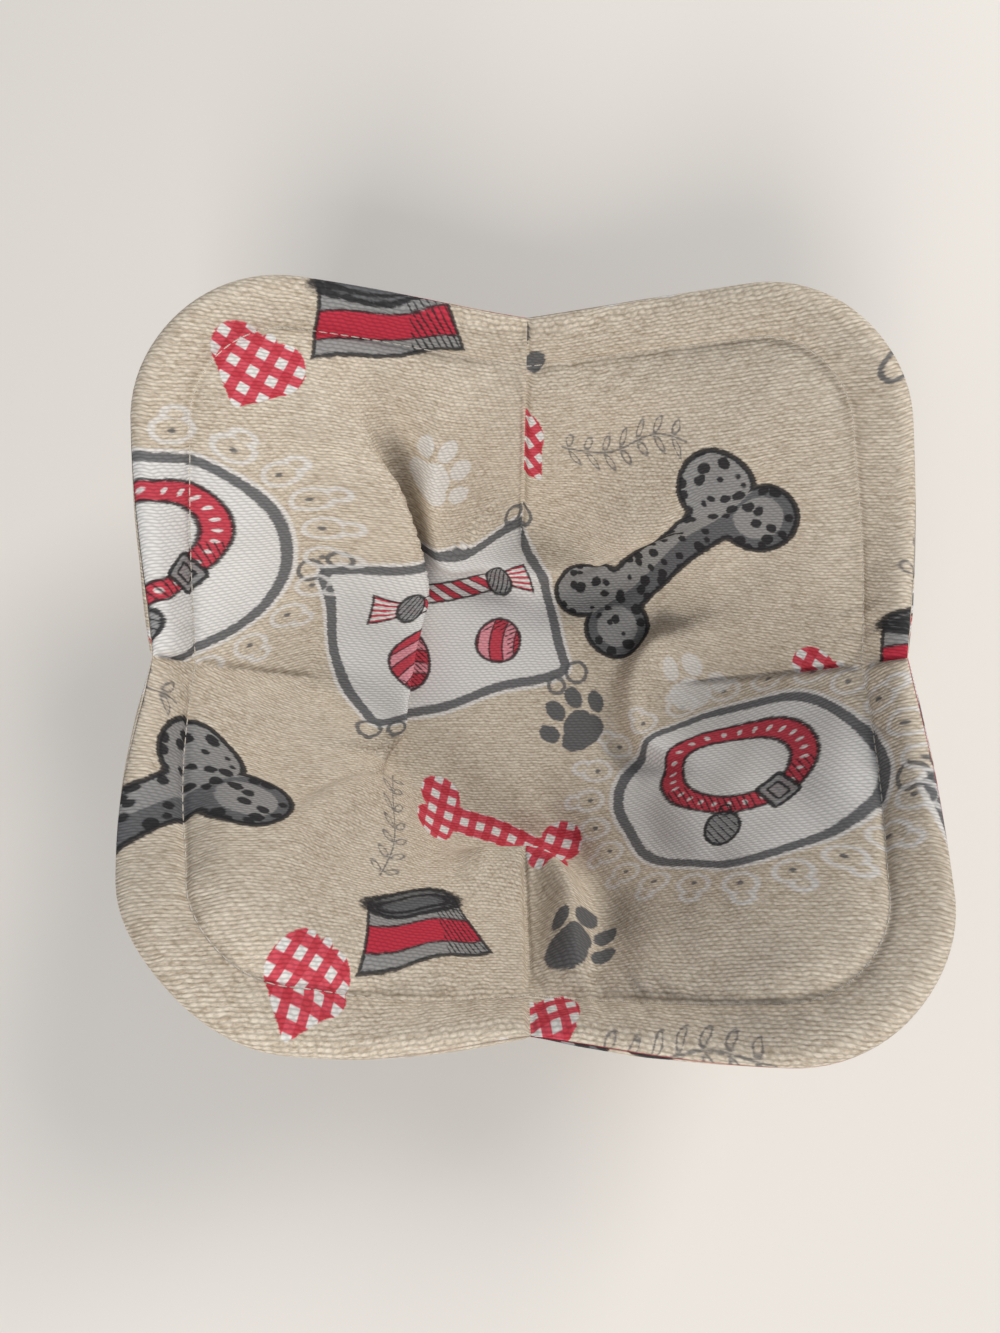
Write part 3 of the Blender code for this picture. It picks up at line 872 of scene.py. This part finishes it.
def lay_dish(ink, at):
    """Grey dish with a red band."""
    n = ink.n
    x, y, _ = n.parts(at)
    half_long = n.number("SUBTRACT", 16.5, n.number("MULTIPLY", y, 0.32))
    sides = n.number("SUBTRACT", n.number("ABSOLUTE", x), half_long)
    dish = ink.both(sides, n.number("SUBTRACT", n.number("ABSOLUTE", y), 7.5))
    mouth = round_spot(n, at, 0, 7.2, 14.5, 3.4)
    ink.lay(dish, PALE_GREY_INK)
    ink.lay(ink.both(dish, ink.line(n.number("ADD", y, 1.0), 3.0)), RED_INK)
    edges = ink.both(dish, ink.line(ink.line(n.number("ADD", y, 1.0), 3.0), 0.25))
    shade = ink.both(dish, n.number("SUBTRACT", 6.0, x), ink.hatching(at, 0.8, 0.25, 0.5))
    ink.lay(ink.either(edges, shade, ink.line(dish, 0.5)), BLACK_INK, 0.9)
    ink.lay(mouth, GREY_INK)
    ink.lay(ink.either(ink.line(mouth, 0.5), ink.line(round_spot(n, at, 0, 7.0, 11.5, 1.9), 0.35)), BLACK_INK)


def lay_print(ink):
    """All the motifs of one repeat, in the order that they are printed."""
    n = ink.n

    at = ink.spot(-34, 24, 12)
    lay_panel(ink, at, 33, 23, 1.2)
    lay_rope(ink, n.placed(at, 3, 9.5, -6, 0.88))
    lay_ball(ink, n.placed(at, -13, -8.5, 0), 9.5)
    lay_ball(ink, n.placed(at, 17, -11, 70), 6.5)

    at = ink.spot(44, -34, -9)
    panel = round_spot(n, at, 0, 0, 33, 24)
    ink.lay(panel, WHITE_INK, 0.80, 3.2)
    ink.lay(panel, GREY_INK, 0.92, 2.3)
    ink.lay(panel, WHITE_INK)
    lay_collar(ink, n.placed(at, 0, 3, 8, 1.05))
    lay_loops(ink, at, 33, 24)

    lay_spotted_bone(ink, ink.spot(34, 40, 33))
    lay_dish(ink, ink.spot(-54, -66, 8))

    # Gingham bone and hearts
    at = ink.spot(-22, -34, -24)
    ink.lay(n.group(MOTIFS["bone"], {"At": at})["Distance"], gingham(n, at, 2.5))
    at = ink.spot(0, 74, 20, 0.85)
    ink.lay(n.group(MOTIFS["heart"], {"At": at})["Distance"], gingham(n, at, 2.7))
    at = ink.spot(70, 6, -28, 0.8)
    ink.lay(n.group(MOTIFS["heart"], {"At": at})["Distance"], gingham(n, at, 2.8))

    # Paw prints in grey and in white
    for x, y, degrees, colour, strength in (
        (2, -6, 28, GREY_INK, 0.95),
        (4, -72, -32, GREY_INK, 0.95),
        (36, 0, -34, WHITE_INK, 0.72),
        (-38, 68, -48, WHITE_INK, 0.72),
    ):
        ink.lay(n.group(MOTIFS["paw"], {"At": ink.spot(x, y, degrees)})["Distance"], colour, strength)

    # Thin sprigs in grey ink
    for x, y, degrees in ((-56, -36, 68), (30, 72, -4)):
        ink.lay(sprig(ink, ink.spot(x, y, degrees, 0.9)), GREY_INK, 0.75)


def lay_loops(ink, at, half_long, half_high):
    """White loops and dark dots round an oval panel."""
    n = ink.n
    x, y, _ = n.parts(at)
    angle = n.number("ARCTAN2", n.number("MULTIPLY", y, half_long / half_high), x)
    out = round_spot(n, at, 0, 0, half_long, half_high)
    way = n.number("MULTIPLY", n.number("WRAP", n.number("MULTIPLY", angle, 11 / math.pi), 0.5, -0.5), 9.0)
    loop_at = n.joined(way, n.number("SUBTRACT", out, 7.6))
    loops = ink.either(round_spot(n, loop_at, 0, 0, 3.0), round_spot(n, loop_at, 0, 3.6, 1.6))
    ink.draw(loops, 0.5, WHITE_INK, 0.72)
    ink.lay(round_spot(n, loop_at, 0, -0.2, 0.6), GREY_INK, 0.85)


def sprig(ink, at):
    """Thin stem with small leaves on both sides, about 44 mm long."""
    n = ink.n
    x, y, _ = n.parts(at)
    bend = n.number("MULTIPLY", n.number("SINE", n.number("MULTIPLY", x, 0.14)), 2.2)
    off = n.number("SUBTRACT", y, bend)
    ends = n.number("SUBTRACT", n.number("ABSOLUTE", x), 21)
    stem = ink.both(n.number("SUBTRACT", n.number("ABSOLUTE", off), 0.28), ends)
    place = n.number("WRAP", x, 3.0, -3.0)
    leaf_at = n.joined(place, n.number("SUBTRACT", n.number("ABSOLUTE", off), 2.6))
    leaf = ink.both(round_spot(n, leaf_at, 0, 0, 0.9, 2.3, -34), n.number("ADD", ends, 2))
    return n.number("MINIMUM", stem, ink.line(leaf, 0.2))


def fleece(name):
    """Soft cotton wadding."""
    material = bpy.data.materials.new(name)
    material.use_nodes = True
    n = Nodes(material.node_tree)
    shader = material.node_tree.nodes["Principled BSDF"]
    at = n.add("ShaderNodeTexCoord", {}, {}).outputs["Object"]
    tufts = n.noise(at, 900, 5.0, 0.7, "3D")
    colour = n.mixed(n.ramp(tufts, 0.3, 0.7), srgb(214, 208, 194), srgb(240, 237, 228))
    material.node_tree.links.new(colour, shader.inputs["Base Color"])
    shader.inputs["Roughness"].default_value = 1.0
    bump = n.add("ShaderNodeBump", {}, {"Strength": 0.5, "Distance": 0.0005, "Height": tufts})
    material.node_tree.links.new(bump.outputs[0], shader.inputs["Normal"])
    return material


def thread(name):
    """Twisted cream sewing thread, with painted shade in the grooves of its twist."""
    material = bpy.data.materials.new(name)
    material.use_nodes = True
    n = Nodes(material.node_tree)
    shader = material.node_tree.nodes["Principled BSDF"]
    at = n.add("ShaderNodeTexCoord", {}, {}).outputs["Object"]
    facts = {"wave_type": "BANDS", "bands_direction": "DIAGONAL"}
    twist = n.add("ShaderNodeTexWave", facts, {"Vector": at, "Scale": 900})
    # Painted shade: the colour is darker where the twist is low, in the grooves between its plies.
    colour = n.mixed(twist.outputs["Fac"], srgb(172, 164, 151), srgb(208, 201, 190))
    material.node_tree.links.new(colour, shader.inputs["Base Color"])
    shader.inputs["Roughness"].default_value = 0.6
    shader.inputs["Sheen Weight"].default_value = 0.2
    bump = n.add("ShaderNodeBump", {}, {"Strength": 0.3, "Distance": 0.0001, "Height": twist.outputs["Fac"]})
    material.node_tree.links.new(bump.outputs[0], shader.inputs["Normal"])
    return material


lining_print = printed_canvas("lining_print_canvas", (14, -6), 4)
outer_print = printed_canvas("outer_print_canvas", (-40, 30), 94)

half_gap = LAYER_GAP / 2
lining_face = cloth_face(1, 0, half_gap)
lining_back = cloth_face(1, CLOTH_THICKNESS, half_gap, LINING_BACK_FOLLOWS)
outer_face = cloth_face(-1, 0, half_gap)
outer_back = cloth_face(-1, CLOTH_THICKNESS, half_gap)
closed_cloth("lining_print_cloth", lining_face, lining_back, lining_print, "lining_cloth")
closed_cloth("outer_print_cloth", outer_face, outer_back, outer_print, "outer_cloth")


def wadding_pad():
    """The wadding, closed where its two faces meet at the rim."""
    under = CLOTH_THICKNESS + LAYER_GAP
    work = bmesh.new()
    for side in (1, -1):
        add_face(work, cloth_face(side, under, 0, WADDING_FOLLOWS), 0)
    bmesh.ops.remove_doubles(work, verts=[vert for vert in work.verts if vert.is_boundary], dist=1e-6)
    bmesh.ops.recalc_face_normals(work, faces=work.faces)
    mesh = bpy.data.meshes.new("cotton_wadding")
    work.to_mesh(mesh)
    work.free()
    for name in ("ring", "column", "back"):
        mesh.attributes.remove(mesh.attributes[name])
    mesh.shade_smooth()
    mesh.materials.append(fleece("cotton_fleece"))
    pad = bpy.data.objects.new("cotton_wadding", mesh)
    bpy.context.scene.collection.objects.link(pad)
    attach(pad, "root")
    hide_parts("wadding")


wadding_pad()
bpy.data.meshes.remove(FLAT_DISC)


def round_bead():
    """A ball of thread, two units across."""
    ball = bmesh.new()
    bmesh.ops.create_uvsphere(ball, u_segments=6, v_segments=6, radius=1)
    mesh = bpy.data.meshes.new("bead")
    ball.to_mesh(mesh)
    ball.free()
    return mesh


def topstitching(name, face, side, material):
    """A row of stitches round the bowl, in the groove of a face. Each is a small swelling bar of thread."""
    ring = WALL_RINGS + GROOVE_RINGS.index(0.0)
    path = face[:, ring]
    steps = np.linalg.norm(np.roll(path, -1, axis=0) - path, axis=1)
    walked = np.concatenate(([0], np.cumsum(steps)))
    loop = np.vstack((path, path[:1]))
    squares = np.vstack((SQUARE[:, ring], SQUARE[:1, ring])) * side
    count = round(walked[-1] / STITCH_LENGTH)
    half_shown = STITCH_LENGTH * STITCH_SHOWS / 2
    bead = round_bead()
    work = bmesh.new()
    for stitch in range(count):
        at = (stitch + 0.5) * walked[-1] / count
        ends = [
            np.array([np.interp(at + reach, walked, loop[:, axis], period=walked[-1]) for axis in range(3)])
            for reach in (-half_shown, half_shown)
        ]
        along = Vector(ends[1] - ends[0])
        square = Vector([np.interp(at, walked, squares[:, axis]) for axis in range(3)]).normalized()
        across = square.cross(along).normalized()
        square = along.cross(across).normalized()
        turn = Matrix((along.normalized(), across, square)).transposed().to_4x4()
        size = Matrix.Diagonal((along.length / 2, THREAD_RADIUS, THREAD_RADIUS, 1))
        place = Matrix.Translation(Vector((ends[0] + ends[1]) / 2) + square * THREAD_RADIUS * 0.2)
        laid = bead.copy()
        laid.transform(place @ turn @ size @ ON_ITS_SIDE)
        work.from_mesh(laid)
        bpy.data.meshes.remove(laid)
    bpy.data.meshes.remove(bead)
    bmesh.ops.recalc_face_normals(work, faces=work.faces)
    mesh = bpy.data.meshes.new(name)
    work.to_mesh(mesh)
    work.free()
    mesh.shade_smooth()
    mesh.materials.append(material)
    row = bpy.data.objects.new(name, mesh)
    bpy.context.scene.collection.objects.link(row)
    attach(row, "root")


ON_ITS_SIDE = Matrix.Rotation(math.radians(90), 4, "Y")
cream_thread = thread("cream_thread")
topstitching("lining_topstitching", lining_face, 1, cream_thread)
topstitching("outer_topstitching", outer_face, -1, cream_thread)


# Table, light and camera


def table():
    """A plain pale table top."""
    material = bpy.data.materials.new("pale_table")
    material.use_nodes = True
    shader = material.node_tree.nodes["Principled BSDF"]
    shader.inputs["Base Color"].default_value = (*srgb(217, 213, 208), 1)
    shader.inputs["Roughness"].default_value = 0.8
    work = bmesh.new()
    bmesh.ops.create_grid(work, x_segments=1, y_segments=1, size=3.0)
    mesh = bpy.data.meshes.new("table")
    work.to_mesh(mesh)
    work.free()
    mesh.materials.append(material)
    top = bpy.data.objects.new("table", mesh)
    bpy.context.scene.collection.objects.link(top)


def soft_light(name, place, size, power, colour=(1, 1, 1)):
    """A square soft light that faces the bowl."""
    lamp = bpy.data.lights.new(name, "AREA")
    lamp.shape, lamp.size, lamp.energy, lamp.color = "SQUARE", size, power, colour
    light = bpy.data.objects.new(name, lamp)
    light.location = place
    light.rotation_euler = (Vector((0, 0, 0.04)) - Vector(place)).to_track_quat("-Z", "Y").to_euler()
    bpy.context.scene.collection.objects.link(light)


WARM = (1.0, 0.96, 0.90)
table()
soft_light("south_window", (-0.22, -1.36, 1.00), 0.75, 22.0, WARM)
soft_light("north_east_window", (0.97, 0.91, 1.00), 0.75, 20.0, WARM)

world = bpy.data.worlds.new("room")
world.use_nodes = True
world.node_tree.nodes["Background"].inputs["Color"].default_value = (0.90, 0.96, 1.06, 1)
world.node_tree.nodes["Background"].inputs["Strength"].default_value = 0.33
bpy.context.scene.world = world
bpy.context.scene.view_settings.view_transform = "Standard"

# The camera looks down from just south of the middle, at arm's length
CAMERA_PLACE = (-0.0071, -0.0344, 0.2715)
CAMERA_TILT = (-0.150, -0.002, 0.0)
FOCAL_PIXELS = 812
IMAGE_HEIGHT = 1333
SENSOR_HEIGHT = 36

camera_data = bpy.data.cameras.new("camera")
camera_data.sensor_fit = "VERTICAL"
camera_data.sensor_height = SENSOR_HEIGHT
camera_data.lens = FOCAL_PIXELS / IMAGE_HEIGHT * SENSOR_HEIGHT
camera_data.clip_start = 0.01
camera = bpy.data.objects.new("camera", camera_data)
camera.location = CAMERA_PLACE
turns = [Matrix.Rotation(angle, 3, axis) for angle, axis in zip(CAMERA_TILT, "XYZ")]
camera.rotation_euler = (turns[2] @ turns[1] @ turns[0]).transposed().to_euler()
bpy.context.scene.collection.objects.link(camera)
bpy.context.scene.camera = camera
